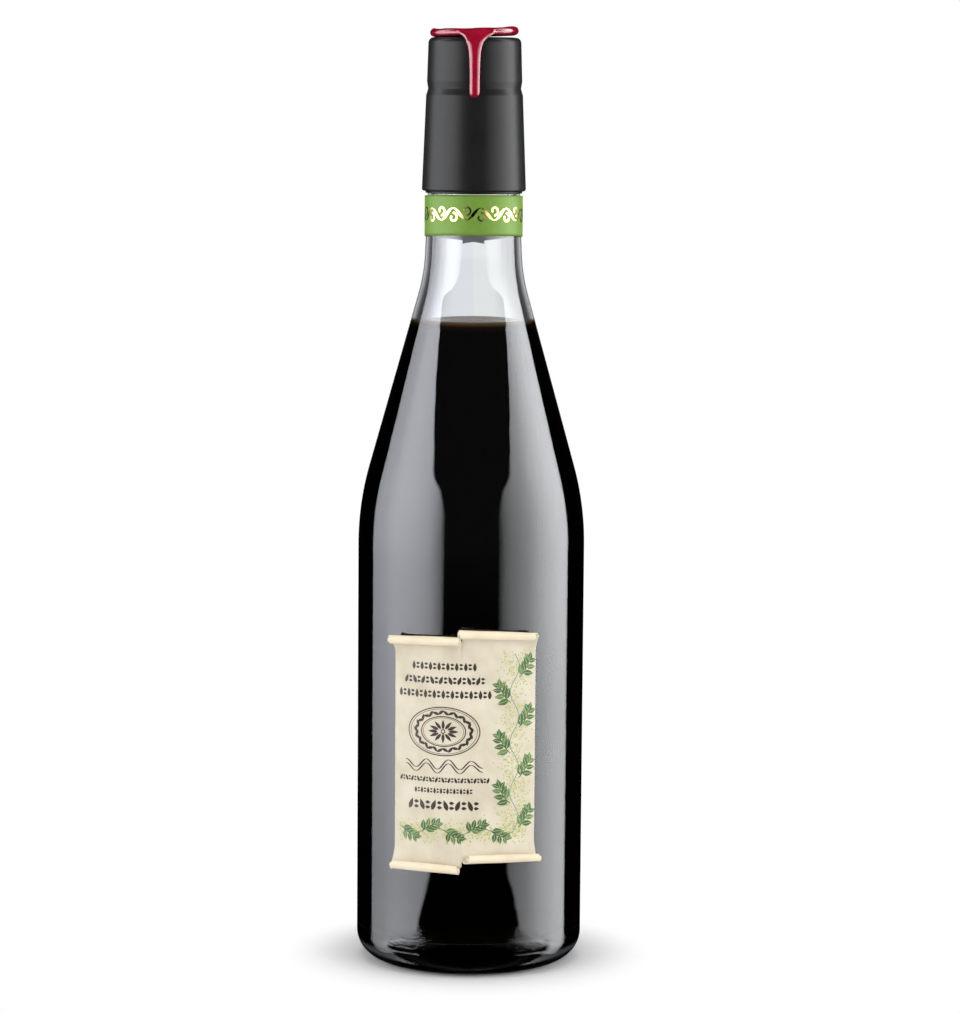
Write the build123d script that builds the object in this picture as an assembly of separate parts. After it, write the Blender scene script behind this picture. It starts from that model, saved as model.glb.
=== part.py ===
"""Half-litre vinegar bottle: clear glass, dark vinegar, closing cap with a poured wax seal, paper band, paper label.

Millimetres, +Z up. The origin is the middle of the ring that the bottle stands on, and the label faces -Y.
"""

import os
from math import atan2, cos, degrees, hypot, pi, radians, sin, sqrt

from build123d import *

# Glass bottle, outside: three stacked stretches, each measured between the corners that the arcs round off
body_diameter = 69.0
neck_diameter = 29.8  # where the line of the cone meets the line of the neck
mouth_diameter = 24.4
body_height = 140.2
cone_height = 70.1
neck_length = 66.0
heel_radius = 8.0
shoulder_radius = 88.0
neck_blend_radius = 55.0
mouth_edge_radius = 0.8

# Glass bottle, inside and underneath
glass_wall = 3.0
floor_thickness = 9.5
inner_heel_radius = 7.0
push_up_radius = 24.0
push_up_height = 8.0
push_up_glass = 5.0

# Vinegar: its surface lies this far below the corner of cone and neck
fill_drop = 15.0

# Cap: a moulded closure, its skirt flaring down to a rounded lip that stands off the neck
cap_roof = 5.0
cap_height = 46.0
cap_top_diameter = 27.9
cap_bead_diameter = 28.7
cap_groove_diameter = 28.0
cap_waist_diameter = 29.2
cap_lip_diameter = 31.5
cap_bead_drop = 13.2  # bead, groove and waist, each from the cap's top
cap_groove_drop = 15.3
cap_waist_drop = 17.3
cap_edge_radius = 1.7
cap_lip_radius = 1.0
cap_skirt_wall = 1.5
cap_recess_depth = 9.0

# Wax seal: a puddle of wax with a beaded rim, tipped up on one side, and one run down the front of the cap
wax_inset = 0.55  # of the rim from the cap's top edge
wax_bead_radius = 1.35
wax_web_thickness = 1.3
wax_tilt = 1.9
wax_seat = 0.15  # the low side of the rim is pressed flat by this much
wax_run_length = 18.2
wax_run_top_width = 7.2
wax_run_width = 3.3
wax_run_depth = 1.4
wax_run_narrowing = 1.4  # drop over which the widening at the top halves

# Neck band: one straight strip of paper round the tapering neck, its ends lapped at the back
band_width = 12.2
band_drop = 0.75  # below the cap's lip, at the front
band_thickness = 0.15
band_lap = 8.0

# Label: a paper sheet round the body, each end slit in the middle and curled forward in two rolls
label_width = 44.6
label_turn = -3.0  # degrees about the axis, from the front
label_foot = 34.9
label_height = 68.6
label_thickness = 0.3
label_roll_diameter = 3.0
label_roll_bite = 0.2
label_slit_width = 1.6
label_slit_depth = 3.2
# each roll: share of the label's half width where its middle lies, length, lift off the nominal line, rise to +X
label_top_rolls = ((-0.53, 23.4, -0.8, 0.8), (0.42, 24.0, 1.2, -1.2))
label_foot_rolls = ((-0.50, 22.8, -0.5, -0.1), (0.54, 23.6, 2.5, -0.6))


def inset(corners, wall):
    """The corners of an outline's inside line, each moved in along its bisector so that the wall is even."""
    inside = []
    for before, corner, after in zip(corners, corners[1:], corners[2:]):
        into = (corner[0] - before[0], corner[1] - before[1])
        out = (after[0] - corner[0], after[1] - corner[1])
        n1 = (-into[1] / hypot(*into), into[0] / hypot(*into))
        n2 = (-out[1] / hypot(*out), out[0] / hypot(*out))
        share = wall / (1 + n1[0] * n2[0] + n1[1] * n2[1])
        inside.append((corner[0] + share * (n1[0] + n2[0]), corner[1] + share * (n1[1] + n2[1])))
    return inside


def turned(corners, corner_radii):
    """A solid turned about Z from an outline that starts and ends on the axis, each corner with its radius."""
    outline = FilletPolyline(*corners, radius=corner_radii)
    outline += Line(corners[-1], corners[0])
    return revolve(make_face(Plane.XZ * outline), Axis.Z)


def radius_between(height, low, high):
    """The radius at a height on the straight line from one (radius, height) corner to another."""
    return low[0] + (high[0] - low[0]) * (height - low[1]) / (high[1] - low[1])


# ---- glass bottle: heights and corners
shoulder = (body_diameter / 2, body_height)
neck_root = (neck_diameter / 2, body_height + cone_height)
mouth = (mouth_diameter / 2, neck_root[1] + neck_length)
outside = [(0, 0), (body_diameter / 2, 0), shoulder, neck_root, mouth, (0, mouth[1])]
glass_core = turned(outside, [heel_radius, shoulder_radius, neck_blend_radius, mouth_edge_radius])

# ---- cavity: the outside moved in by the wall, over a thick floor with a dome
wall_line = inset(outside, glass_wall)
mouth_bore = wall_line[3][0]
inside = [
    (0, floor_thickness),
    (wall_line[0][0], floor_thickness),
    wall_line[1],
    wall_line[2],
    (mouth_bore, wall_line[3][1]),
    (mouth_bore, mouth[1] + glass_wall),
    (0, mouth[1] + glass_wall),
]
cavity_radii = [inner_heel_radius, shoulder_radius - glass_wall, neck_blend_radius + glass_wall, 0, 0]
dome_radius = (push_up_radius**2 + push_up_height**2) / (2 * push_up_height)
dome_centre = Pos(0, 0, push_up_height - dome_radius)
cavity = turned(inside, cavity_radii) - dome_centre * Sphere(dome_radius + push_up_glass)
bottle = glass_core - cavity - dome_centre * Sphere(dome_radius)

# ---- vinegar: the cavity up to the fill line
fill_level = neck_root[1] - fill_drop
vinegar = split(cavity, Plane.XY.offset(fill_level), keep=Keep.BOTTOM)

# ---- cap: outline from the top down, bored to fit the neck face to face above an open recess
cap_top = mouth[1] + cap_roof
cap_lip = cap_top - cap_height
cap_corners = [
    (0, cap_top),
    (cap_top_diameter / 2, cap_top),
    (cap_bead_diameter / 2, cap_top - cap_bead_drop),
    (cap_groove_diameter / 2, cap_top - cap_groove_drop),
    (cap_waist_diameter / 2, cap_top - cap_waist_drop),
    (cap_lip_diameter / 2, cap_lip),
    (0, cap_lip),
]
cap_body = turned(cap_corners, [cap_edge_radius, 1.6, 0.7, 1.2, cap_lip_radius])
recess_radius = cap_lip_diameter / 2 - cap_skirt_wall
recess = Pos(0, 0, cap_lip) * Cylinder(
    recess_radius, cap_recess_depth, align=(Align.CENTER, Align.CENTER, Align.MIN)
)
cap = cap_body - recess - glass_core


# ---- wax seal: rim bead and web, tipped up on one side, with the run as a coat of wax down the front of the cap
wax_radius = cap_top_diameter / 2 - wax_inset
bead_middle = wax_radius - wax_bead_radius
rim = revolve(Plane.XZ * (Pos(bead_middle, wax_bead_radius) * Circle(wax_bead_radius)), Axis.Z)
web = Pos(0, 0, wax_bead_radius) * Cylinder(bead_middle, wax_web_thickness)
lift = bead_middle * sin(radians(wax_tilt)) - wax_seat
puddle = Pos(0, 0, cap_top + lift) * Rot(0, -wax_tilt, 0) * (rim + web)


def run_half_width(drop):
    """Half the width of the run at a drop below the cap's top: it narrows fast at first, then hardly at all."""
    return (wax_run_width + (wax_run_top_width - wax_run_width) * 2 ** (-drop / wax_run_narrowing)) / 2


coat_corners = [(0, cap_top + wax_run_depth)]
coat_corners += [(radius + wax_run_depth, height) for radius, height in cap_corners[1:6]]
coat_corners[1] = (coat_corners[1][0], cap_top + wax_run_depth)
coat_corners.append((0, cap_lip))
coat = turned(coat_corners, [cap_edge_radius + wax_run_depth, 1.6, 0.7, 1.2, cap_lip_radius])
tip_drop = wax_run_length - wax_run_width / 2
side_drops = [-wax_run_depth] + [tip_drop * (step / 7) ** 1.6 for step in range(8)]
side = [(run_half_width(max(drop, 0)), cap_top - drop) for drop in side_drops]
other_side = [(-half, height) for half, height in side]
outline = Spline(*side) + ThreePointArc(side[-1], (0, cap_top - wax_run_length), other_side[-1])
outline += Spline(*reversed(other_side)) + Line(other_side[0], side[0])
front = extrude(Pos(0, -bead_middle, 0) * make_face(Plane.XZ * outline), body_diameter)
wax_seal = puddle + (coat & front) - cap_body

# ---- neck band: a thin sleeve on the neck between the two edges of a straight strip
taper = atan2(neck_root[0] - mouth[0], neck_length)
band_top = cap_lip - band_drop
band_foot = band_top - band_width


def dip(angle, radius):
    """How far a straight strip's edge drops on a tapering neck at an angle from the front."""
    return radius * angle**2 * sin(taper) / 2


def strip_between(half_arc):
    """The solid between the strip's two edges, as a side outline carried across the neck."""
    steps = 12
    angles = [pi * i / steps for i in range(steps + 1)]
    edges = []
    for height in (band_foot, band_top):
        radius = radius_between(height, neck_root, mouth)
        points = [(-radius * cos(angle), height - dip(angle, radius)) for angle in angles]
        first = (points[0][0] - half_arc, points[0][1])
        last = (points[-1][0] + half_arc, points[-1][1])
        edges.append((first, points, last))
    (foot_first, foot, foot_last), (top_first, top, top_last) = edges
    side = Line(foot_first, foot[0]) + Spline(*foot) + Line(foot[-1], foot_last)
    side += Line(foot_last, top_last)
    side += Line(top_last, top[-1]) + Spline(*reversed(top)) + Line(top[0], top_first)
    side += Line(top_first, foot_first)
    return extrude(make_face(Plane.YZ * side), neck_diameter, both=True)


def sleeve(thickness):
    """The neck made larger all over by a thickness, between generous heights, less the neck itself."""
    shell_corners = [
        (0, band_foot - band_width),
        (radius_between(band_foot - band_width, neck_root, mouth) + thickness, band_foot - band_width),
        (mouth[0] + thickness, mouth[1]),
        (0, mouth[1]),
    ]
    return turned(shell_corners, [0, 0]) - glass_core


margin = 3.0
strip = strip_between(margin)
lap = Pos(0, neck_diameter / 2, (band_foot + band_top) / 2) * Box(band_lap, neck_diameter / 2, 2 * band_width)
neck_band = (sleeve(band_thickness) + (sleeve(2 * band_thickness) & lap)) & strip

# ---- label: sheet, slits and rolls
sheet_radius = body_diameter / 2 + label_thickness
half_angle = degrees(label_width / 2 / (body_diameter / 2))
sheet_middle = label_turn - 90


def sector(radius, start, sweep):
    """A pie slice in the XY plane."""
    edge = CenterArc((0, 0), radius, start, sweep)
    return make_face(Line((0, 0), edge @ 0) + edge + Line(edge @ 1, (0, 0)))


sheet = extrude(sector(sheet_radius, sheet_middle - half_angle, 2 * half_angle), label_height)
sheet = Pos(0, 0, label_foot) * sheet - glass_core
slit_outline = Polyline((-label_slit_width / 2, 0), (label_slit_width / 2, 0), (0, label_slit_depth), close=True)
slit = extrude(make_face(Plane.XZ * slit_outline), body_diameter)
sheet -= Rot(0, 0, label_turn) * Pos(0, 0, label_foot) * slit
sheet -= Rot(0, 0, label_turn) * Pos(0, 0, label_foot + label_height) * Rot(0, 180, 0) * slit


def roll(share, length, lift, rise, height):
    """A curled end: a straight tube of paper touching the sheet at its middle, its ends clear of the glass."""
    reach = sheet_radius + label_roll_diameter / 2 - label_roll_bite
    turn = label_turn + share * half_angle
    slope = degrees(atan2(rise, length))
    bar = Rot(0, 90 - slope, 0) * Cylinder(label_roll_diameter / 2, length)
    return Rot(0, 0, turn) * Pos(0, -reach, height + lift) * bar


rolls = [roll(*place, label_foot + label_height) for place in label_top_rolls]
rolls += [roll(*place, label_foot) for place in label_foot_rolls]
label = sheet + rolls

nodes = {
    "bottle": bottle,
    "vinegar": vinegar,
    "cap": cap,
    "wax_seal": wax_seal,
    "neck_band": neck_band,
    "label": label,
}
os.makedirs("parts", exist_ok=True)
for name, shape in nodes.items():
    export_step(shape, f"parts/{name}.step")
    print(name, "volume", round(shape.volume), "mm3, solids", len(shape.solids()))
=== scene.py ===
import bmesh
import bpy
import numpy as np
from mathutils import Euler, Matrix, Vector


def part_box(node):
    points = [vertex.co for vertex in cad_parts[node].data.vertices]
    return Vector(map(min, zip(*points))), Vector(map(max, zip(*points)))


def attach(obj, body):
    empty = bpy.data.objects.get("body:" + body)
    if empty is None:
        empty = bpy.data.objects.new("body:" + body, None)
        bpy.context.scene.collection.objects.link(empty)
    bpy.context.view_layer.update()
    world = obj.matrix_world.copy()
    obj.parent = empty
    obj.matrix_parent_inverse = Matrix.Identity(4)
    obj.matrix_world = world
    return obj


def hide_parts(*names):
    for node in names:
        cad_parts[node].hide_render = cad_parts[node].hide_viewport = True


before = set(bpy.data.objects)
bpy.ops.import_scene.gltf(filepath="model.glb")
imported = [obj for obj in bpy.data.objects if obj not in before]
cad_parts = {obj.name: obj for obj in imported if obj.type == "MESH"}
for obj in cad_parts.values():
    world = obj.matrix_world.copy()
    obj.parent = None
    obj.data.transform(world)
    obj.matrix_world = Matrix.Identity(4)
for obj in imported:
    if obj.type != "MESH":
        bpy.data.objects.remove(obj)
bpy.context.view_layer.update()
mm = 0.001

# ---------------------------------------------------------------- bottle
# A half-litre bottle blown in clear glass: one wall of even thickness over a thick floor that is
# pushed up in the middle. Its outside is two straight runs and a cone, rounded into each other.
glass_low, glass_high = (np.array(corner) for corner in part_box("bottle"))
body_radius = float(glass_high[0])
mouth_height = float(glass_high[2])
neck_length = 66.0 * mm
cone_height = 70.1 * mm
neck_root_radius = 14.9 * mm
mouth_radius = 12.2 * mm
glass_wall = 3.0 * mm
push_up_radius = 24.0 * mm
push_up_height = 8.0 * mm
floor_height = float(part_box("vinegar")[0][2])
neck_root_height = mouth_height - neck_length
shoulder_height = neck_root_height - cone_height


def rounded(corners, radii, steps=14):
    """Points along straight runs through the corners, each corner replaced by the arc of its radius that
    touches both runs: the arc's centre lies on the corner's bisector, radius over the sine of half the angle away."""
    corners = [np.array(corner, float) for corner in corners]
    points = [corners[0]]
    for before, corner, after, radius in zip(corners, corners[1:], corners[2:], radii):
        back = (before - corner) / np.linalg.norm(before - corner)
        on = (after - corner) / np.linalg.norm(after - corner)
        half = np.arccos(np.clip(back @ on, -1, 1)) / 2
        centre = corner + (back + on) / np.linalg.norm(back + on) * radius / np.sin(half)
        first = corner + back * radius / np.tan(half) - centre
        last = corner + on * radius / np.tan(half) - centre
        sweep = np.pi - 2 * half
        share = np.linspace(0, 1, steps)[:, None]
        points.extend(centre + (np.sin((1 - share) * sweep) * first + np.sin(share * sweep) * last) / np.sin(sweep))
    points.append(corners[-1])
    return np.array(points)


def spaced(outline, step):
    """The outline with extra points on its long runs, so that no two neighbours are more than a step apart."""
    run = np.r_[0, np.cumsum(np.linalg.norm(np.diff(outline, axis=0), axis=1))]
    extra = [np.linspace(a, b, int(np.ceil((b - a) / step)) + 1)[:-1] for a, b in zip(run, run[1:]) if b > a]
    places = np.r_[np.concatenate(extra), run[-1]]
    return np.stack([np.interp(places, run, outline[:, axis]) for axis in (0, 1)], axis=1)


def skin(name, grid, wrap=False, close=False):
    """A smooth mesh over a grid of points (rows, columns, 3): one quad between each four neighbours. With wrap
    the last column joins the first, and with close the result is a shell whose faces all point outwards."""
    rows, columns = grid.shape[:2]
    row = np.arange(rows - 1)[:, None]
    column = np.arange(columns if wrap else columns - 1)[None, :]
    beside = (column + 1) % columns
    quads = [row * columns + column, row * columns + beside, (row + 1) * columns + beside, (row + 1) * columns + column]
    mesh = bpy.data.meshes.new(name)
    mesh.from_pydata(grid.reshape(-1, 3).tolist(), [], np.stack(quads, axis=-1).reshape(-1, 4).tolist())
    work = bmesh.new()
    work.from_mesh(mesh)
    bmesh.ops.remove_doubles(work, verts=work.verts, dist=1e-7)
    if close:
        bmesh.ops.recalc_face_normals(work, faces=work.faces)
    work.to_mesh(mesh)
    work.free()
    mesh.shade_smooth()
    piece = bpy.data.objects.new(name, mesh)
    bpy.context.scene.collection.objects.link(piece)
    return piece


def turned(outline, columns):
    """The outline (radius, height) carried round the axis: x is radius times sine, y is minus radius times cosine."""
    angle = np.linspace(0, 2 * np.pi, columns, endpoint=False)
    radius, height = outline[:, :1], outline[:, 1:]
    return np.stack([radius * np.sin(angle), -radius * np.cos(angle), height + 0 * angle], axis=-1)


def finish(name, colour, roughness):
    """A material with its shader's colour and roughness set, and short ways to add nodes and joints."""
    material = bpy.data.materials.new(name)
    material.use_nodes = True
    shader = material.node_tree.nodes["Principled BSDF"]
    shader.inputs["Base Color"].default_value = (*colour, 1)
    shader.inputs["Roughness"].default_value = roughness
    return material, material.node_tree, shader


def grain(tree, scale, detail=2.0, stretch=(1, 1, 1)):
    """Noise on Object coordinates, in cells per metre, stretched along an axis where a stretch is under one."""
    place = tree.nodes.new("ShaderNodeTexCoord")
    turn = tree.nodes.new("ShaderNodeMapping")
    turn.inputs["Scale"].default_value = stretch
    noise = tree.nodes.new("ShaderNodeTexNoise")
    noise.inputs["Scale"].default_value = scale
    noise.inputs["Detail"].default_value = detail
    tree.links.new(place.outputs["Object"], turn.inputs["Vector"])
    tree.links.new(turn.outputs["Vector"], noise.inputs["Vector"])
    return noise.outputs["Fac"]


def relief(tree, shader, height, strength, depth):
    """Bump on a shader from a height, of a depth in metres."""
    bump = tree.nodes.new("ShaderNodeBump")
    bump.inputs["Strength"].default_value = strength
    bump.inputs["Distance"].default_value = depth
    tree.links.new(height, bump.inputs["Height"])
    tree.links.new(bump.outputs["Normal"], shader.inputs["Normal"])


def ranged(tree, value, low, high, socket):
    """A value from 0 to 1 spread between low and high into a socket."""
    spread = tree.nodes.new("ShaderNodeMapRange")
    spread.inputs["To Min"].default_value = low
    spread.inputs["To Max"].default_value = high
    tree.links.new(value, spread.inputs["Value"])
    tree.links.new(spread.outputs["Result"], socket)


def tinted(tree, value, stops, socket):
    """A colour that follows a value through the given (place, colour) stops into a socket."""
    ramp = tree.nodes.new("ShaderNodeValToRGB")
    ramp.color_ramp.elements.remove(ramp.color_ramp.elements[1])
    for index, (place, colour) in enumerate(stops):
        stop = ramp.color_ramp.elements[0] if index == 0 else ramp.color_ramp.elements.new(place)
        stop.position = place
        stop.color = (*colour, 1)
    tree.links.new(value, ramp.inputs["Fac"])
    tree.links.new(ramp.outputs["Color"], socket)


outer_corners = [
    (push_up_radius, 0),
    (body_radius, 0),
    (body_radius, shoulder_height),
    (neck_root_radius, neck_root_height),
    (mouth_radius, mouth_height),
    (mouth_radius - glass_wall, mouth_height),
]
outer_line = rounded(outer_corners, [8 * mm, 88 * mm, 55 * mm, 0.8 * mm])


def moved_in(corners, wall):
    """Corners moved inwards along their bisectors, so that the wall between the two outlines is even."""
    corners = np.array(corners)
    runs = np.diff(corners, axis=0)
    normals = np.stack([-runs[:, 1], runs[:, 0]], axis=1) / np.linalg.norm(runs, axis=1)[:, None]
    both = normals[:-1] + normals[1:]
    share = wall / (1 + np.sum(normals[:-1] * normals[1:], axis=1))
    return corners[1:-1] + both * share[:, None]


def dome(height_at_axis, glass, reach, steps=12):
    """Points on the push-up's sphere, thickened by the glass over it, from the axis out to a reach."""
    ball = (push_up_radius**2 + push_up_height**2) / (2 * push_up_height)
    radius = np.linspace(0, reach, steps)
    return np.stack([radius, push_up_height - ball + np.sqrt((ball + glass) ** 2 - radius**2)], axis=1)


wall_line = moved_in(outer_corners, glass_wall)
cavity_corners = [
    (0.018, floor_height),
    (body_radius - glass_wall, floor_height),
    tuple(wall_line[1]),
    tuple(wall_line[2]),
    (mouth_radius - glass_wall, mouth_height),
]
cavity_line = rounded(cavity_corners, [7 * mm, 85 * mm, 58 * mm])
floor_dome = dome(0, 5 * mm, 0.018)
cavity_line = np.r_[floor_dome, cavity_line[1:]]
glass_outline = np.r_[dome(0, 0, push_up_radius), outer_line[1:], cavity_line[::-1]]
bottle = skin("bottle_glass", turned(spaced(glass_outline, 2.5 * mm), 192), wrap=True, close=True)

glass, tree, shader = finish("clear_glass", (0.965, 0.97, 0.96), 0.0)
shader.inputs["Transmission Weight"].default_value = 1.0
shader.inputs["IOR"].default_value = 1.5
ranged(tree, grain(tree, 60, 3), 0.0, 0.03, shader.inputs["Roughness"])
place = tree.nodes.new("ShaderNodeTexCoord")
split = tree.nodes.new("ShaderNodeSeparateXYZ")
low_down = tree.nodes.new("ShaderNodeMapRange")
low_down.inputs["From Min"].default_value = 16 * mm
low_down.inputs["From Max"].default_value = 8 * mm
low_down.inputs["To Max"].default_value = 3.0
stipple = tree.nodes.new("ShaderNodeMath")
stipple.operation = "MULTIPLY"
height = tree.nodes.new("ShaderNodeMath")
tree.links.new(place.outputs["Object"], split.inputs["Vector"])
tree.links.new(split.outputs["Z"], low_down.inputs["Value"])
tree.links.new(low_down.outputs["Result"], stipple.inputs[0])
tree.links.new(grain(tree, 1300, 2), stipple.inputs[1])
tree.links.new(grain(tree, 220, 2, (1, 1, 0.35)), height.inputs[0])
tree.links.new(stipple.outputs["Value"], height.inputs[1])
relief(tree, shader, height.outputs["Value"], 0.12, 0.12 * mm)
bottle.data.materials.append(glass)
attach(bottle, "root")
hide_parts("bottle")

# ---------------------------------------------------------------- vinegar
# Aged vinegar, almost black, with light painted into its colour: a faint lighter glow near the floor for the light
# through the thick heel, and amber to tan brown where it climbs the glass, for the light at its thin edge.
# It fills the cavity to its level, climbs a little at the glass, and reaches just into the wall.
fill_level = float(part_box("vinegar")[1][2])
into_wall = 0.25 * mm
climb = 1.0 * mm
wet = cavity_line[cavity_line[:, 1] < fill_level + climb]
top_radius = float(np.interp(fill_level + climb, cavity_line[-20:, 1], cavity_line[-20:, 0]))
edge_drop = np.linspace(0, 1, 14)[:, None]
surface = np.c_[top_radius * (1 - edge_drop), fill_level + climb * np.exp(-edge_drop * top_radius / (1.6 * mm))]
wet = np.r_[wet, surface]
wet[1:-14, 0] += into_wall
wet[:-14, 1] -= np.where(wet[:-14, 1] < floor_height + 8 * mm, into_wall, 0)
vinegar = skin("vinegar_fill", turned(spaced(wet, 2.5 * mm), 128), wrap=True, close=True)

dark, tree, shader = finish("dark_vinegar", (0.0015, 0.001, 0.0008), 0.03)
shader.inputs["IOR"].default_value = 1.36
shader.inputs["Specular IOR Level"].default_value = 0.08
place = tree.nodes.new("ShaderNodeTexCoord")
split = tree.nodes.new("ShaderNodeSeparateXYZ")
by_height = tree.nodes.new("ShaderNodeMapRange")
by_height.inputs["From Min"].default_value = floor_height
by_height.inputs["From Max"].default_value = fill_level + climb
tree.links.new(place.outputs["Object"], split.inputs["Vector"])
tree.links.new(split.outputs["Z"], by_height.inputs["Value"])
# painted light: lighter near the floor for the glow through the heel, amber to tan at the top of the climb for the
# light at the thin edge
tinted(
    tree,
    by_height.outputs["Result"],
    [
        (0.0, (0.012, 0.010, 0.007)),
        (0.03, (0.004, 0.003, 0.002)),
        (0.06, (0.0015, 0.001, 0.0008)),
        (0.985, (0.0015, 0.001, 0.0008)),
        (0.992, (0.03, 0.014, 0.006)),
        (1.0, (0.4, 0.24, 0.12)),
    ],
    shader.inputs["Base Color"],
)
ranged(tree, grain(tree, 90), 0.02, 0.06, shader.inputs["Roughness"])
# The open top is a lit copy of the vinegar: its tan colour, far lighter than the body, is painted light at the surface.
open_surface, tree, shader = finish("vinegar_surface", (0.3, 0.17, 0.08), 0.03)
shader.inputs["IOR"].default_value = 1.36
tinted(tree, grain(tree, 60), [(0.3, (0.26, 0.14, 0.06)), (0.7, (0.32, 0.19, 0.09))], shader.inputs["Base Color"])
ranged(tree, grain(tree, 90), 0.02, 0.05, shader.inputs["Roughness"])
vinegar.data.materials.append(dark)
vinegar.data.materials.append(open_surface)
face_heights = np.empty(3 * len(vinegar.data.polygons))
vinegar.data.polygons.foreach_get("normal", face_heights)
on_top = (face_heights[2::3] > 0.3) & (np.array([face.center.z for face in vinegar.data.polygons]) > fill_level - climb)
vinegar.data.polygons.foreach_set("material_index", on_top.astype(np.int32))
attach(vinegar, "root")
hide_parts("vinegar")

# ---------------------------------------------------------------- cap
# A moulded closure in satin black plastic: a flat top with a soft edge, a shallow groove where the tear line
# runs, and a skirt that flares down to a rounded lip, open under it round the neck.
cap_top = float(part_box("cap")[1][2])
cap_lip = float(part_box("cap")[0][2])
cap_corners = [
    (0, cap_top),
    (13.95 * mm, cap_top),
    (14.35 * mm, cap_top - 13.2 * mm),
    (14.0 * mm, cap_top - 15.3 * mm),
    (14.6 * mm, cap_top - 17.3 * mm),
    (15.75 * mm, cap_lip),
    # Under the lip a thin black sleeve hangs 0.65 mm lower, close round the glass: a dark piece put there for the shade
    # in the gap between lip and band.
    (14.6 * mm, cap_lip),
    (14.6 * mm, cap_lip - 0.65 * mm),
    (13.95 * mm, cap_lip - 0.65 * mm),
    (13.95 * mm, cap_lip + 9 * mm),
    (13.4 * mm, cap_lip + 9 * mm),
]
cap_radii = np.array([1.7, 1.6, 0.7, 1.2, 0.7, 0.1, 0.2, 0.2, 0.3]) * mm
cap_line = rounded(cap_corners, cap_radii, 10)
cap_line = np.r_[cap_line, [(13.4 * mm, mouth_height - 1 * mm), (0, mouth_height - 1 * mm)]]
cap = skin("cap_shell", turned(spaced(cap_line, 1.5 * mm), 160), wrap=True, close=True)

satin, tree, shader = finish("satin_black", (0.016, 0.016, 0.017), 0.42)
shader.inputs["Specular IOR Level"].default_value = 0.135
shader.inputs["Specular Tint"].default_value = (1.0, 0.97, 0.93, 1)
tinted(tree, grain(tree, 140, 4), [(0.3, (0.009, 0.009, 0.009)), (0.7, (0.012, 0.012, 0.012))], shader.inputs["Base Color"])
ranged(tree, grain(tree, 420, 3), 0.3, 0.38, shader.inputs["Roughness"])
relief(tree, shader, grain(tree, 2600, 3), 0.1, 0.05 * mm)
cap.data.materials.append(satin)
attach(cap, "root")
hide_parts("cap")

# ---------------------------------------------------------------- wax seal
# Crimson sealing wax poured on the cap: it set as a thin dish with a fat uneven rim, lifted on one side,
# and one run went down the front. Puddle and run are made apart and melted together.
wax_reach = 13.4 * mm
wax_rise = 0.025
dish = np.array([(0, 0.5), (8.5, 0.4), (10.6, 0.15), (12.1, 0.0), (13.1, 0.5), (13.4, 1.3), (13.1, 2.1),
                 (12.3, 2.6), (11.4, 2.4), (10.4, 1.75), (8.5, 1.45), (0, 1.3)]) * mm
around = np.linspace(0, 2 * np.pi, 120, endpoint=False)
dish = spaced(dish, 0.5 * mm)
puddle = turned(dish, 120)
sway = 1 + 0.012 * np.sin(3 * around + 0.6) + 0.009 * np.sin(5 * around + 2.0)
puddle[..., :2] *= sway[None, :, None]
front = np.maximum(np.cos(around), 0)
swell = 1.08 + 0.03 * np.sin(around) - 0.25 * front**2 + 0.03 * np.sin(2 * around + 1.0) + 0.03 * np.sin(7 * around)
puddle[..., 2] = cap_top + puddle[..., 2] * swell + wax_rise * (puddle[..., 0] + wax_reach)
puddle_piece = skin("wax_puddle", puddle, wrap=True, close=True)

run_path = np.array([(-9.5, 1.3), (-12.4, 1.5), (-13.6, 0.9), (-14.1, -0.4), (-14.15, -2), (-14.25, -8), (-14.35, -12.5),
                     (-14.25, -15.3), (-14.45, -17.0), (-14.5, -18.1)]) * mm
along = np.linspace(0, 1, 90)
run_at = np.r_[0, np.cumsum(np.linalg.norm(np.diff(run_path, axis=0), axis=1))]
run_y = np.interp(along * run_at[-1], run_at, run_path[:, 0])
run_z = np.interp(along * run_at[-1], run_at, run_path[:, 1])
soften = np.ones(7) / 7
run_y[3:-3] = np.convolve(run_y, soften, "valid")
run_z[3:-3] = np.convolve(run_z, soften, "valid")
drop = np.maximum(-run_z, 0)
half_width = (3.5 * mm + 4.2 * mm * 2 ** (run_z / (1.4 * mm)) - 0.3 * mm * drop / (18 * mm)) / 2
from_tip = np.clip((run_z - run_z[-1]) / (1.6 * mm), 0, 1)
from_head = np.clip(along / 0.06, 0, 1)
fade = np.sqrt(1 - (1 - from_tip) ** 2) * np.sqrt(1 - (1 - from_head) ** 2)
turn = np.linspace(0, 2 * np.pi, 40, endpoint=False)
run_x = (half_width * fade)[:, None] * np.sign(np.cos(turn)) * np.abs(np.cos(turn)) ** 0.7
deep = (1.25 * mm * fade)[:, None] * np.sign(np.sin(turn)) * np.abs(np.sin(turn)) ** 0.8
lean = np.clip(1 - drop / (1.5 * mm), 0, 1)[:, None]
run_grid = np.stack([
    run_x + 0.4 * mm * lean,
    run_y[:, None] - deep * (1 - 0.7 * lean) + 0.08 * np.abs(run_x),
    cap_top + run_z[:, None] + deep * 0.7 * lean,
], axis=-1)
run_piece = skin("wax_run", run_grid, wrap=True, close=True)

both = bmesh.new()
both.from_mesh(puddle_piece.data)
both.from_mesh(run_piece.data)
both.to_mesh(puddle_piece.data)
both.free()
bpy.data.objects.remove(run_piece)
wax = puddle_piece
wax.name = "wax_seal_pour"
melt = wax.modifiers.new("melt", "REMESH")
melt.mode = "VOXEL"
melt.voxel_size = 0.28 * mm
settle = wax.modifiers.new("settle", "SMOOTH")
settle.factor = 0.5
settle.iterations = 9
bpy.context.view_layer.update()
melted = bpy.data.meshes.new_from_object(wax.evaluated_get(bpy.context.evaluated_depsgraph_get()))
wax.modifiers.clear()
wax.data = melted
wax.data.shade_smooth()

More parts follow.
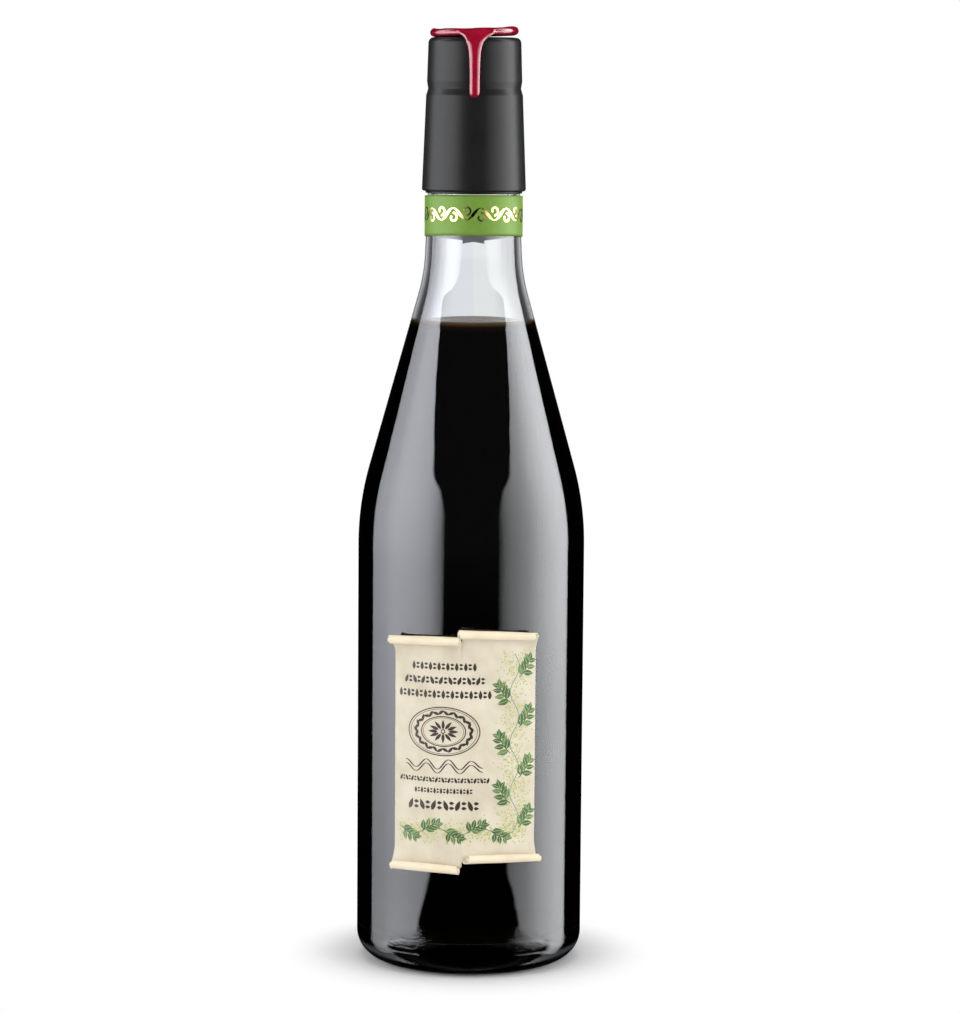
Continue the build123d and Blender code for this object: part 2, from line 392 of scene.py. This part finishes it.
crimson, tree, shader = finish("crimson_wax", (0.33, 0.003, 0.022), 0.16)
shader.inputs["Subsurface Weight"].default_value = 0.15
shader.inputs["Subsurface Radius"].default_value = (1.0, 0.15, 0.1)
shader.inputs["Subsurface Scale"].default_value = 0.8 * mm
shader.inputs["Coat Weight"].default_value = 0.25
shader.inputs["Coat Roughness"].default_value = 0.1
tinted(tree, grain(tree, 300, 3), [(0.3, (0.23, 0.002, 0.016)), (0.7, (0.32, 0.003, 0.024))], shader.inputs["Base Color"])
ranged(tree, grain(tree, 500, 2), 0.12, 0.22, shader.inputs["Roughness"])
relief(tree, shader, grain(tree, 350, 2), 0.15, 0.2 * mm)
wax.data.materials.append(crimson)
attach(wax, "root")
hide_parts("wax_seal")

# ---------------------------------------------------------------- neck band
# A straight strip of green paper, white behind, wrapped once round the tapering neck with its ends lapped
# at the back: on the taper its edges sink away from the front, most where they cross.
band_width = 12.2 * mm
band_top = cap_lip - 0.75 * mm
neck_taper = np.arctan2(neck_root_radius - mouth_radius, neck_length)
band_lap = 8 * mm
band_reach = np.pi + band_lap / 2 / neck_root_radius


def neck_radius(height):
    """The glass's outside radius at a height, read off the bottle's own outline."""
    return np.interp(height, outer_line[:-16, 1], outer_line[:-16, 0])


def on_band(angle, share, lift):
    """A point of the strip: its height is a share of the width above the lower edge, less the dip of a straight
    edge, radius times angle squared times half the taper's sine. The late end rides up over the early one."""
    height = band_top - band_width * (1 - share)
    height = height - neck_radius(height) * angle**2 * np.sin(neck_taper) / 2
    over = np.clip((angle - np.pi + 0.45) / 0.25, 0, 1)
    radius = neck_radius(height) + 0.04 * mm + 0.22 * mm * over + lift
    return np.stack([radius * np.sin(angle), -radius * np.cos(angle), height], axis=-1)


angle, share = np.meshgrid(np.linspace(-band_reach, band_reach, 260), np.linspace(0, 1, 14))
band = skin("green_band", on_band(angle, share, 0.12 * mm))
thick = band.modifiers.new("paper", "SOLIDIFY")
thick.thickness = 0.12 * mm
thick.offset = -1

green, tree, shader = finish("green_paper", (0.137, 0.25, 0.035), 0.5)
shader.inputs["Specular IOR Level"].default_value = 0.3
tinted(tree, grain(tree, 900, 5), [(0.3, (0.128, 0.235, 0.032)), (0.7, (0.146, 0.262, 0.037))], shader.inputs["Base Color"])
ranged(tree, grain(tree, 1500, 3), 0.42, 0.55, shader.inputs["Roughness"])
relief(tree, shader, grain(tree, 5000, 4), 0.12, 0.03 * mm)
white_back, tree, back_shader = finish("white_paper", (0.8, 0.8, 0.78), 0.7)
tinted(tree, grain(tree, 900, 5), [(0.3, (0.74, 0.74, 0.72)), (0.7, (0.84, 0.84, 0.82))], back_shader.inputs["Base Color"])
relief(tree, back_shader, grain(tree, 4000, 4), 0.15, 0.03 * mm)
band.data.materials.append(green)
band.data.materials.append(white_back)
thick.material_offset = 1
thick.material_offset_rim = 1
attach(band, "root")
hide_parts("neck_band")


# Gold foil stamped on the band: a running scroll with a bud in each turn, all the way round.
def strokes(paths, widths, closed=False):
    """Flat strips along paths (count, points, 2): each point is given two edge points, half a width to each
    side, square to the way the path runs there. Gives the points (all, 2) and the quads between them."""
    paths = np.asarray(paths, float)
    count, points = paths.shape[:2]
    way = np.gradient(paths, axis=1)
    if closed:
        way = (np.roll(paths, -1, axis=1) - np.roll(paths, 1, axis=1)) / 2
    way = way / np.maximum(np.linalg.norm(way, axis=2, keepdims=True), 1e-12)
    side = np.stack([-way[..., 1], way[..., 0]], axis=-1) * (np.broadcast_to(widths, (count, points)) / 2)[..., None]
    verts = np.stack([paths - side, paths + side], axis=2).reshape(-1, 2)
    first = (np.arange(count)[:, None] * points + np.arange(points if closed else points - 1)) * 2
    onward = (np.arange(count)[:, None] * points + (np.arange(points if closed else points - 1) + 1) % points) * 2
    return verts, np.stack([first, onward, onward + 1, first + 1], axis=-1).reshape(-1, 4)


def leaves(centres, turns, lengths, widths, steps=9):
    """Pointed leaves: across each, the half width is the sine of the place along it, a little fuller near its
    base. Each is a strip of quads turned and moved to its centre."""
    place = np.linspace(0, 1, steps)
    half = np.sin(np.pi * place**0.8) + 0.02
    centres, turns = np.asarray(centres, float), np.asarray(turns, float)
    lengths, widths = (np.broadcast_to(value, turns.shape) for value in (lengths, widths))
    x = (place[None, :] - 0.5) * lengths[:, None]
    y = half[None, :] * widths[:, None] / 2
    cos, sin = np.cos(turns)[:, None], np.sin(turns)[:, None]
    low = np.stack([x * cos + y * sin, x * sin - y * cos], axis=-1)
    high = np.stack([x * cos - y * sin, x * sin + y * cos], axis=-1)
    verts = (np.stack([low, high], axis=2) + centres[:, None, None, :]).reshape(-1, 2)
    first = (np.arange(len(turns))[:, None] * steps + np.arange(steps - 1)) * 2
    return verts, np.stack([first, first + 2, first + 3, first + 1], axis=-1).reshape(-1, 4)


def print_piece(name, shapes, surface, lift, material):
    """One thin piece of print: the flat shapes joined, and laid on a surface at a lift over it."""
    offset, verts, quads = 0, [], []
    for shape_verts, shape_quads in shapes:
        verts.append(shape_verts)
        quads.append(shape_quads + offset)
        offset += len(shape_verts)
    flat = np.concatenate(verts)
    mesh = bpy.data.meshes.new(name)
    mesh.from_pydata(surface(flat[:, 0], flat[:, 1], lift).tolist(), [], np.concatenate(quads).tolist())
    mesh.shade_smooth()
    piece = bpy.data.objects.new(name, mesh)
    bpy.context.scene.collection.objects.link(piece)
    mesh.materials.append(material)
    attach(piece, "root")
    return piece


turns_round = 11
scroll_pitch = 2 * np.pi * neck_root_radius / turns_round
scroll_middle = 0.53 * band_width
wave_s = np.linspace(-0.93 * np.pi, 0.93 * np.pi, 700) * neck_root_radius
wave_turn = 2 * np.pi * wave_s / scroll_pitch
wave = np.stack([wave_s, scroll_middle + 1.75 * mm * np.sin(wave_turn)], axis=-1)
wave_width = 0.42 * mm * (1.4 + 0.8 * np.cos(2 * wave_turn))
number = np.arange(-5, 5)
spin = np.linspace(0, 1.75 * np.pi, 30)
foil_shapes = [strokes(wave[None], wave_width[None])]
for flip, shift in ((1, 0.25), (-1, 0.75)):
    middle_s = ((number + shift) * scroll_pitch)[:, None]
    reach = (1.45 * mm * (1 - spin / 9))[None, :]
    curl_s = middle_s + reach * np.sin(spin)
    curl = np.stack([curl_s, scroll_middle + flip * (reach * np.cos(spin) - 1.05 * mm) + 0 * curl_s], axis=-1)
    foil_shapes.append(strokes(curl, 0.55 * mm))

foil, tree, shader = finish("gold_foil", (0.9, 0.66, 0.28), 0.2)
shader.inputs["Metallic"].default_value = 1.0
ranged(tree, grain(tree, 1800, 3), 0.15, 0.32, shader.inputs["Roughness"])
relief(tree, shader, grain(tree, 2600, 3), 0.2, 0.05 * mm)


def on_band_arc(arc, height, lift):
    """A place on the band given as an arc length from the front and a height over the lower edge."""
    return on_band(arc / neck_root_radius, height / band_width, 0.12 * mm + lift)


print_piece("band_scroll_foil", foil_shapes, on_band_arc, 0.025 * mm, foil)

# ---------------------------------------------------------------- label
# A sheet of cream paper pasted to the body. Each end is slit in the middle and each half is curled forward
# by hand into a tight roll that shows the plain back, straight, so that its ends stand off the round glass.
label_low, label_high = (np.array(corner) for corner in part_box("label"))
label_turn = np.radians(-3.0)
label_width = 44.6 * mm
label_foot = 34.9 * mm
label_head = label_foot + 68.6 * mm
paper = 0.22 * mm
roll_radius = 1.45 * mm
middle_arc = label_turn * body_radius
left_arc = middle_arc - label_width / 2
right_arc = middle_arc + label_width / 2
slit_arc = middle_arc - 0.9 * mm
lift_zone = 5 * mm
shared_low, shared_high = 42.6 * mm, 97.6 * mm
# each roll: the arc where it touches the glass, the height of its middle, its rise per metre to +X, and how
# far it runs to the left and right of the place where it touches
rolls = {
    ("left", "head"): (-13.4 * mm, 102.8 * mm, 0.034, -11.3 * mm, 11.5 * mm),
    ("right", "head"): (7.4 * mm, 104.7 * mm, -0.053, -11.6 * mm, 11.6 * mm),
    ("left", "foot"): (-12.6 * mm, 34.4 * mm, -0.004, -11.1 * mm, 10.5 * mm),
    ("right", "foot"): (10.0 * mm, 37.4 * mm, -0.026, -11.4 * mm, 11.4 * mm),
}


def on_glass(arc, height, lift):
    """A place on the body at an arc length from the front, a height, and a lift off the glass."""
    radius = body_radius + lift
    angle = arc / body_radius
    return np.stack([radius * np.sin(angle), -radius * np.cos(angle), height + 0 * arc], axis=-1)


def roll_frame(side, end):
    """The roll's height, where it touches the sheet, the way it runs, the way out from the glass, and how far
    along it the two edges of its half of the sheet go."""
    touch, height, rise, *reach = rolls[side, end]
    angle = touch / body_radius
    out = np.array([np.sin(angle), -np.cos(angle), 0.0])
    run = np.array([np.cos(angle), np.sin(angle), rise])
    foot = (body_radius + paper) * out + np.array([0, 0, height])
    return touch, height, foot, run / np.linalg.norm(run), out, reach


def edges(side):
    """The arcs of the two edges of one half of the sheet."""
    return (left_arc, slit_arc) if side == "left" else (slit_arc, right_arc)


def on_sheet(arc, height, lift):
    """A place on the pasted sheet, or in the zone at each end where the paper leaves the glass for its roll's
    flat plane: the place slides from the glass to the plane with the smooth step of the way through the zone."""
    place = on_glass(arc, height, paper + lift)
    for side in ("left", "right"):
        here = arc < slit_arc if side == "left" else arc >= slit_arc
        for end, way in (("head", 1), ("foot", -1)):
            touch, level, foot, run, out, reach = roll_frame(side, end)
            through = np.clip(1 - (level - height) * way / lift_zone, 0, 1)
            ease = (through * through * (3 - 2 * through))[..., None]
            along = (arc - touch)[..., None]
            plane = foot + along * run + out * lift + np.array([0, 0, 1.0]) * (height - level)[..., None]
            place = np.where(here[..., None], place + ease * (plane - place), place)
    return place


def half_sheet(side, columns=40):
    """One half of the label as a grid of points: from inside its foot roll, up the sheet, to inside its head roll.
    A roll is a spiral round a straight axis: its radius shrinks as it winds, starting tangent to the sheet."""
    arcs = np.linspace(*edges(side), columns)
    share = np.linspace(0, 1, columns)
    parts = []
    for end, way in (("foot", -1), ("head", 1)):
        touch, level, foot, run, out, reach = roll_frame(side, end)
        wind = np.linspace(0, 3.3 * np.pi, 62)[:, None]
        taper = 1 - 0.12 * (share if side == "right" else 0 * share)
        radius = roll_radius * taper * (1 - 0.055 * wind) * (1 + 0.03 * np.sin(9 * share + 2 * wind))
        slid = np.clip(wind / (0.7 * np.pi), 0, 1)
        along = (1 - slid) * (arcs - touch) + slid * np.interp(arcs, edges(side), reach) + 0.35 * mm * np.sin(wind * 0.7 + 1.3) * (2 * share - 1)
        axis = foot + along[..., None] * run + out * (roll_radius * taper)[None, :, None]
        curl = axis + (-np.cos(wind) * radius)[..., None] * out + (way * np.sin(wind) * radius)[..., None] * np.array([0, 0, 1.0])
        parts.append(curl)
    low, high = rolls[side, "foot"][1], rolls[side, "head"][1]
    spans = (np.linspace(low, shared_low, 16)[1:], np.linspace(shared_low, shared_high, 60)[1:-1], np.linspace(shared_high, high, 16)[:-1])
    heights = np.concatenate(spans)[:, None] + 0 * arcs
    sheet = on_sheet(np.broadcast_to(arcs, heights.shape), heights, 0.0)
    return np.concatenate([parts[0][::-1], sheet, parts[1]])


left_half, right_half = skin("label_sheet", half_sheet("left")), skin("right_half", half_sheet("right"))
joined = bmesh.new()
joined.from_mesh(left_half.data)
joined.from_mesh(right_half.data)
bmesh.ops.remove_doubles(joined, verts=joined.verts, dist=0.002 * mm)
joined.to_mesh(left_half.data)
joined.free()
bpy.data.objects.remove(right_half)
label = left_half
label.data.shade_smooth()
body = label.modifiers.new("paper", "SOLIDIFY")
body.thickness = 0.2 * mm
body.offset = 0
body.material_offset = 1
body.material_offset_rim = 1

cream, tree, shader = finish("cream_paper", (0.8, 0.73, 0.55), 0.75)
tinted(
    tree,
    grain(tree, 130, 6),
    [(0.25, (0.60, 0.535, 0.40)), (0.5, (0.69, 0.625, 0.49)), (0.75, (0.75, 0.695, 0.575))],
    shader.inputs["Base Color"],
)
ranged(tree, grain(tree, 1200, 3), 0.65, 0.85, shader.inputs["Roughness"])
relief(tree, shader, grain(tree, 3500, 5), 0.25, 0.06 * mm)
plain, tree, shader = finish("plain_back", (0.82, 0.71, 0.53), 0.75)
tinted(
    tree,
    grain(tree, 160, 6),
    [(0.25, (0.76, 0.63, 0.44)), (0.5, (0.83, 0.73, 0.54)), (0.75, (0.87, 0.78, 0.6))],
    shader.inputs["Base Color"],
)
relief(tree, shader, grain(tree, 2500, 5), 0.3, 0.08 * mm)
label.data.materials.append(cream)
label.data.materials.append(plain)
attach(label, "root")
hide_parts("label")

# The print on the label: a leafy garland up the right side and along the foot, and beside it an oval medallion
# between rows of small ornament in brown ink, all flat colour on the paper.
chance = np.random.default_rng(7)


def ink(name, colour, roughness=0.6):
    """Printing ink on paper: its colour a little uneven, and as matt as the sheet under it."""
    material, tree, shader = finish(name, colour, roughness)
    low = tuple(0.8 * channel for channel in colour)
    high = tuple(min(1.0, 1.2 * channel) for channel in colour)
    tinted(tree, grain(tree, 1500, 4), [(0.3, low), (0.7, high)], shader.inputs["Base Color"])
    relief(tree, shader, grain(tree, 3500, 5), 0.2, 0.05 * mm)
    return material


def sprig(foot, heading, length, bend):
    """A bent stem from its foot, and pairs of leaves up it: the stem turns evenly by the bend along its length,
    and each leaf stands off the stem at about half a right angle, shorter towards the tip."""
    step = np.linspace(0, 1, 24)
    turn = heading + bend * (step - 0.5)
    stem = np.asarray(foot) + np.cumsum(np.stack([np.cos(turn), np.sin(turn)], axis=-1), axis=0) * length / 24
    places, turns, sizes = [stem[-1]], [turn[-1]], [0.42 * length]
    for node, side in zip((3, 6, 9, 12, 15, 18, 20), (1, -1, 1, -1, 1, -1, 1)):
        size = length * (0.5 - 0.008 * node)
        lean = turn[node] + side * 0.95
        places.append(stem[node] + 0.5 * size * np.array([np.cos(lean), np.sin(lean)]))
        turns.append(lean)
        sizes.append(size)
    return stem, np.array(places), np.array(turns), np.array(sizes)


sprigs = []
for index in range(7):
    lean = 0.55 if index % 2 else -0.55
    sprigs.append(sprig((right_arc - (5.8 + 2.2 * (index % 2)) * mm, (46.0 + 7.6 * index) * mm), np.pi / 2 + lean, 7.4 * mm, -1.3 * lean))
for index in range(5):
    lean = 0.45 if index % 2 else -0.45
    sprigs.append(sprig((left_arc + (2.6 + 6.9 * index) * mm, (46.0 - 1.2 * (index % 2)) * mm), lean, 6.4 * mm, -1.6 * lean))
stems = [strokes(np.array([stem for stem, *_ in sprigs]), 0.24 * mm)]
leaf_places, leaf_turns, leaf_sizes = (np.concatenate([parts[index] for parts in sprigs]) for index in (1, 2, 3))
leaf_turns = leaf_turns + chance.uniform(-0.15, 0.15, len(leaf_turns))
ribs = np.stack([leaf_places, leaf_places], axis=1)
reach = 0.4 * leaf_sizes[:, None] * np.stack([np.cos(leaf_turns), np.sin(leaf_turns)], axis=-1)
ribs = np.stack([leaf_places - reach, leaf_places, leaf_places + reach], axis=1)
dark_ones = np.arange(len(leaf_turns)) % 3 != 1
leaf_green = ink("leaf_green", (0.06, 0.13, 0.042))
leaf_light = ink("leaf_light", (0.14, 0.23, 0.08))
for name, some, material in (("leaves_dark", dark_ones, leaf_green), ("leaves_light", ~dark_ones, leaf_light)):
    print_piece(name, [leaves(leaf_places[some], leaf_turns[some], leaf_sizes[some], 0.52 * leaf_sizes[some])] + stems,
                on_sheet, 0.13 * mm, material)
print_piece("leaf_ribs", [strokes(ribs, 0.14 * mm)], on_sheet, 0.14 * mm, ink("rib_green", (0.4, 0.5, 0.22)))
climb_height = np.linspace(45 * mm, 99 * mm, 120)
side_vine = np.stack([right_arc - 7 * mm + 1.4 * mm * np.sin(climb_height / (2.42 * mm)), climb_height], axis=-1)
foot_arc = np.linspace(left_arc + 2 * mm, right_arc - 7 * mm, 120)
foot_vine = np.stack([foot_arc, 45.3 * mm + 1.1 * mm * np.sin(foot_arc / (2.2 * mm))], axis=-1)
vines = strokes(np.stack([side_vine, foot_vine]), 0.22 * mm)
print_piece("vine_stem", [vines], on_sheet, 0.125 * mm, ink("vine_grey", (0.2, 0.27, 0.28)))
speck_count = 1100
down = chance.random(speck_count) < 0.6
speck_arc = np.where(down, right_arc - 7 * mm + chance.normal(0, 2.3 * mm, speck_count), chance.uniform(left_arc + 2 * mm, right_arc - 3 * mm, speck_count))
speck_arc = np.clip(speck_arc, left_arc + 1 * mm, right_arc - 1 * mm)
speck_height = np.where(down, chance.uniform(43 * mm, 100 * mm, speck_count), 45.3 * mm + chance.normal(0, 1.6 * mm, speck_count))
specks = leaves(np.stack([speck_arc, np.clip(speck_height, 41.4 * mm, 100.5 * mm)], axis=-1), chance.uniform(0, np.pi, speck_count), 0.62 * mm, 0.5 * mm, 5)
print_piece("specks", [specks], on_sheet, 0.12 * mm, ink("speck_yellow", (0.52, 0.53, 0.2)))

medal_arc = -8.0 * mm
medal_middle = np.array([medal_arc, 75.6 * mm])
full = np.linspace(0, 2 * np.pi, 96, endpoint=False)
ring = np.stack([np.cos(full), np.sin(full)], axis=-1)
oval = np.array([1.5, 1.0])
rings = [strokes((medal_middle + size * mm * oval * ring)[None], width * mm, closed=True)
         for size, width in ((7.3, 0.32), (6.8, 0.14), (4.5, 0.3), (4.1, 0.12))]
beads_at = np.linspace(0, 2 * np.pi, 34, endpoint=False)
bead_way = np.stack([np.cos(beads_at), np.sin(beads_at)], axis=-1)
wreath = leaves(medal_middle + 5.65 * mm * oval * bead_way, beads_at + 0.5 * np.pi + 0.6 * np.where(np.arange(34) % 2, 1, -1), 2.3 * mm, 0.85 * mm)
petals_at = np.linspace(0, 2 * np.pi, 12, endpoint=False)
petal_way = np.stack([np.cos(petals_at), np.sin(petals_at)], axis=-1)
rosette = leaves(medal_middle + 2.1 * mm * oval * petal_way, np.arctan2(petal_way[:, 1], 1.5 * petal_way[:, 0]), 3.0 * mm, 0.95 * mm)
ink_shapes = rings + [wreath, rosette, strokes((medal_middle + 0.55 * mm * ring)[None], 0.3 * mm, closed=True)]
# rows of small ornament: the height of each row's middle, its width, and the height of its signs, in millimetres
rows = ((95.2, 20, 2.6), (91.0, 25, 2.7), (86.8, 29, 2.7), (60.9, 28, 1.9), (57.6, 18, 1.9), (53.2, 22, 3.4))
for row, (height, width, size) in enumerate(rows):
    count = int(width / (size * 0.5))
    places = medal_arc + (np.arange(count) - (count - 1) / 2) * width / count * mm
    line = np.stack([places, 0 * places + height * mm], axis=-1)
    tall, small = line[::2], line[1::2]
    slant = np.pi / 2 + 0.35 * np.where(np.arange(len(tall)) % 2, 1, -1) * (row % 2)
    ink_shapes.append(leaves(tall, slant, size * mm, 0.4 * size * mm))
    for flip in (1, -1):
        ink_shapes.append(leaves(small + flip * 0.22 * size * mm * np.array([0, 1]), 0 * small[:, 0], 0.46 * size * mm, 0.3 * size * mm, 5))
flourish = np.linspace(-1, 1, 160)
for flip in (1, -1):
    swing = 1.5 * mm * np.sin(3.5 * np.pi * flourish) * (1 - 0.4 * flourish**2)
    flourish_line = np.stack([medal_arc + 12 * mm * flourish, 65.0 * mm + flip * 0.6 * mm + swing], axis=-1)
    ink_shapes.append(strokes(flourish_line[None], (0.16 + 0.24 * np.abs(np.cos(3.5 * np.pi * flourish)))[None] * mm))
print_piece("ink_ornament", ink_shapes, on_sheet, 0.13 * mm, ink("brown_ink", (0.035, 0.024, 0.018)))

# ---------------------------------------------------------------- floor, light and camera
# A pale table under an evenly lit white backdrop. Two tall soft boxes stand beside the bottle and show in its
# gloss, with black cards in front, behind and between, as a studio sets them for dark glass.
floor_reach = 3.0
floor_rings = np.stack([np.r_[np.linspace(0, 0.5, 40), floor_reach], np.zeros(41)], axis=1)
floor = skin("floor", turned(floor_rings, 64), wrap=True)
ground, tree, shader = finish("pale_table", (0.9, 0.9, 0.9), 0.9)
place = tree.nodes.new("ShaderNodeTexCoord")
length = tree.nodes.new("ShaderNodeVectorMath")
length.operation = "LENGTH"
tree.links.new(place.outputs["Object"], length.inputs[0])
far = tree.nodes.new("ShaderNodeMapRange")
far.interpolation_type = "SMOOTHSTEP"
far.inputs["From Min"].default_value = 0.033
far.inputs["From Max"].default_value = 0.058
tree.links.new(length.outputs["Value"], far.inputs["Value"])
white = tree.nodes.new("ShaderNodeEmission")
white.inputs["Color"].default_value = (1, 1, 1, 1)
blend = tree.nodes.new("ShaderNodeMixShader")
path = tree.nodes.new("ShaderNodeLightPath")
shown = tree.nodes.new("ShaderNodeMath")
shown.operation = "MULTIPLY"
tree.links.new(far.outputs["Result"], shown.inputs[0])
tree.links.new(path.outputs["Is Camera Ray"], shown.inputs[1])
tree.links.new(shown.outputs["Value"], blend.inputs["Fac"])
tree.links.new(shader.outputs["BSDF"], blend.inputs[1])
tree.links.new(white.outputs["Emission"], blend.inputs[2])
tree.links.new(blend.outputs["Shader"], tree.nodes["Material Output"].inputs["Surface"])
floor.data.materials.append(ground)
floor.visible_glossy = False
floor.visible_transmission = False

surround_line = np.stack([np.full(40, 1.3), np.linspace(-0.9, 2.2, 40)], axis=1)
surround = skin("soft_boxes", turned(surround_line, 180), wrap=True)
boxes = bpy.data.materials.new("soft_box_light")
boxes.use_nodes = True
tree = boxes.node_tree
tree.nodes.clear()
out = tree.nodes.new("ShaderNodeOutputMaterial")
place = tree.nodes.new("ShaderNodeTexCoord")
split = tree.nodes.new("ShaderNodeSeparateXYZ")
tree.links.new(place.outputs["Object"], split.inputs["Vector"])


def reckon(operation, first, second=None):
    """One sum on two values, each a number or an output."""
    node = tree.nodes.new("ShaderNodeMath")
    node.operation = operation
    for socket, value in zip(node.inputs, (first, second)):
        if value is None:
            continue
        if isinstance(value, (int, float)):
            socket.default_value = value
        else:
            tree.links.new(value, socket)
    return node.outputs["Value"]


def step_up(value, low, high):
    """0 below low, 1 above high, and a smooth step between."""
    node = tree.nodes.new("ShaderNodeMapRange")
    node.interpolation_type = "SMOOTHSTEP"
    node.inputs["From Min"].default_value = low
    node.inputs["From Max"].default_value = high
    tree.links.new(value, node.inputs["Value"])
    return node.outputs["Result"]




def curve(value, low, high, stops):
    """A height over a value from low to high, straight between the given (value, height) stops."""
    spread = tree.nodes.new("ShaderNodeMapRange")
    spread.inputs["From Min"].default_value = low
    spread.inputs["From Max"].default_value = high
    tree.links.new(value, spread.inputs["Value"])
    ramp = tree.nodes.new("ShaderNodeValToRGB")
    ramp.color_ramp.elements.remove(ramp.color_ramp.elements[1])
    for index, (place, height) in enumerate(stops):
        share = (place - low) / (high - low)
        stop = ramp.color_ramp.elements[0] if index == 0 else ramp.color_ramp.elements.new(share)
        stop.position = share
        stop.color = (height, height, height, 1)
    tree.links.new(spread.outputs["Result"], ramp.inputs["Fac"])
    return ramp.outputs["Color"]


bearing = reckon("ARCTAN2", split.outputs["X"], reckon("MULTIPLY", split.outputs["Y"], -1.0))
aside = reckon("MULTIPLY", reckon("ABSOLUTE", bearing), 180 / np.pi)
right_hand = step_up(bearing, -0.01, 0.01)
inner_edge = curve(split.outputs["Z"], -0.8, 0.8, [
    (-0.73, 90), (-0.71, 52), (-0.61, 52), (-0.58, 90), (-0.33, 90), (-0.31, 62), (-0.29, 53), (-0.27, 46), (-0.25, 38), (-0.16, 31), (-0.07, 25), (0.3, 25),
    (0.565, 33), (0.695, 45), (0.712, 53), (0.735, 63), (0.75, 90),
])
inside_box = step_up(reckon("SUBTRACT", aside, inner_edge), -1.0, 4.0)
left_shape = curve(aside, 0, 180, [
    (26, 0), (31, 0.36), (39, 0.67), (48, 0.87), (57, 0.95), (66, 1), (76, 1), (87, 0.9), (98, 0.66), (112, 0.45),
    (116, 0.4), (118.5, 0),
])
right_shape = curve(aside, 0, 180, [
    (27, 0), (34, 0.2), (42, 0.33), (50, 0.42), (60, 0.55), (70, 0.76), (80, 0.92), (92, 1), (102, 0.93), (110, 0.8),
    (113.5, 0.6), (115.5, 0),
])
left_bright = curve(split.outputs["Z"], -0.8, 0.8, [(-0.6, 3.5), (-0.3, 5.9), (-0.26, 5.5), (-0.14, 6.6), (-0.07, 7.5), (0.0, 8.6), (0.4, 9.7)])
right_bright = curve(split.outputs["Z"], -0.8, 0.8, [(-0.6, 3.5), (-0.3, 6.8), (-0.14, 7.6), (-0.07, 9.1), (0.0, 9.6), (0.4, 10.9), (0.6, 11.3)])
left_glow = reckon("MULTIPLY", reckon("MULTIPLY", left_shape, left_bright), reckon("SUBTRACT", 1.0, right_hand))
right_glow = reckon("MULTIPLY", reckon("MULTIPLY", right_shape, right_bright), right_hand)
strength = reckon("MULTIPLY", inside_box, reckon("ADD", left_glow, right_glow))
path = tree.nodes.new("ShaderNodeLightPath")
behind = curve(aside, 0, 180, [
    (95, 0.8), (101, 0.05), (140, 0.04), (150, 0.06), (157, 0.15), (168, 0.42), (173, 0.8), (176, 0.93), (180, 0.93),
])
behind = reckon("ADD", reckon("MULTIPLY", behind, step_up(split.outputs["Z"], -0.12, 0.0)), 0.015)
backdrop = reckon("MULTIPLY", behind, path.outputs["Is Transmission Ray"])
mirrored = reckon("MULTIPLY", path.outputs["Is Glossy Ray"], reckon("SUBTRACT", 1.0, path.outputs["Is Transmission Ray"]))
strength = reckon("ADD", reckon("MULTIPLY", strength, mirrored), backdrop)
tint = tree.nodes.new("ShaderNodeMix")
tint.data_type = "RGBA"
tint.inputs[6].default_value = (0.9, 0.93, 1.0, 1)
tint.inputs[7].default_value = (0.95, 0.98, 1.0, 1)
tree.links.new(right_hand, tint.inputs[0])
lamp = tree.nodes.new("ShaderNodeEmission")
tree.links.new(tint.outputs[2], lamp.inputs["Color"])
tree.links.new(strength, lamp.inputs["Strength"])
tree.links.new(lamp.outputs["Emission"], out.inputs["Surface"])
surround.data.materials.append(boxes)
surround.visible_camera = False
surround.visible_diffuse = False
surround.visible_shadow = False

for name, place, power, size in (
    ("left_lamp", (-0.9, -0.55, 0.5), 5.4, 0.9),
    ("right_lamp", (0.9, -0.55, 0.5), 6.2, 0.9),
    ("top_lamp", (0.0, -0.1, 1.2), 3.8, 0.8),
):
    light = bpy.data.lights.new(name, "AREA")
    light.shape = "SQUARE"
    light.size = size
    light.energy = power
    holder = bpy.data.objects.new(name, light)
    holder.location = place
    holder.rotation_euler = (Vector((0, 0, 0.13)) - Vector(place)).to_track_quat("-Z", "Y").to_euler()
    holder.visible_glossy = False
    holder.visible_transmission = False
    bpy.context.scene.collection.objects.link(holder)

world = bpy.data.worlds.new("white_room")
bpy.context.scene.world = world
world.use_nodes = True
tree = world.node_tree
background = tree.nodes["Background"]
background.inputs["Color"].default_value = (1, 1, 1, 1)
path = tree.nodes.new("ShaderNodeLightPath")
seen = reckon("MAXIMUM", path.outputs["Is Camera Ray"], reckon("MULTIPLY", path.outputs["Is Transmission Ray"], 0.012))
level = reckon("MAXIMUM", seen, reckon("MULTIPLY", path.outputs["Is Diffuse Ray"], 0.55))
tree.links.new(level, background.inputs["Strength"])

camera_distance = 1.064
camera_height = 0.26276
camera_pitch = np.radians(6.621)
camera_roll = np.radians(0.437)
camera_yaw = np.radians(0.139)
lens = bpy.data.cameras.new("camera")
lens.sensor_fit = "VERTICAL"
lens.sensor_height = 36.0
lens.lens = 36.0 * 3505.7 / 1013
camera = bpy.data.objects.new("camera", lens)
camera.location = (0, -camera_distance, camera_height)
camera.rotation_mode = "XYZ"
look = Euler((np.pi / 2 - camera_pitch, 0, -camera_yaw), "XYZ").to_matrix()
camera.rotation_euler = (look @ Euler((0, 0, camera_roll), "XYZ").to_matrix()).to_euler()
bpy.context.scene.collection.objects.link(camera)
bpy.context.scene.camera = camera
bpy.context.scene.view_settings.view_transform = "Standard"
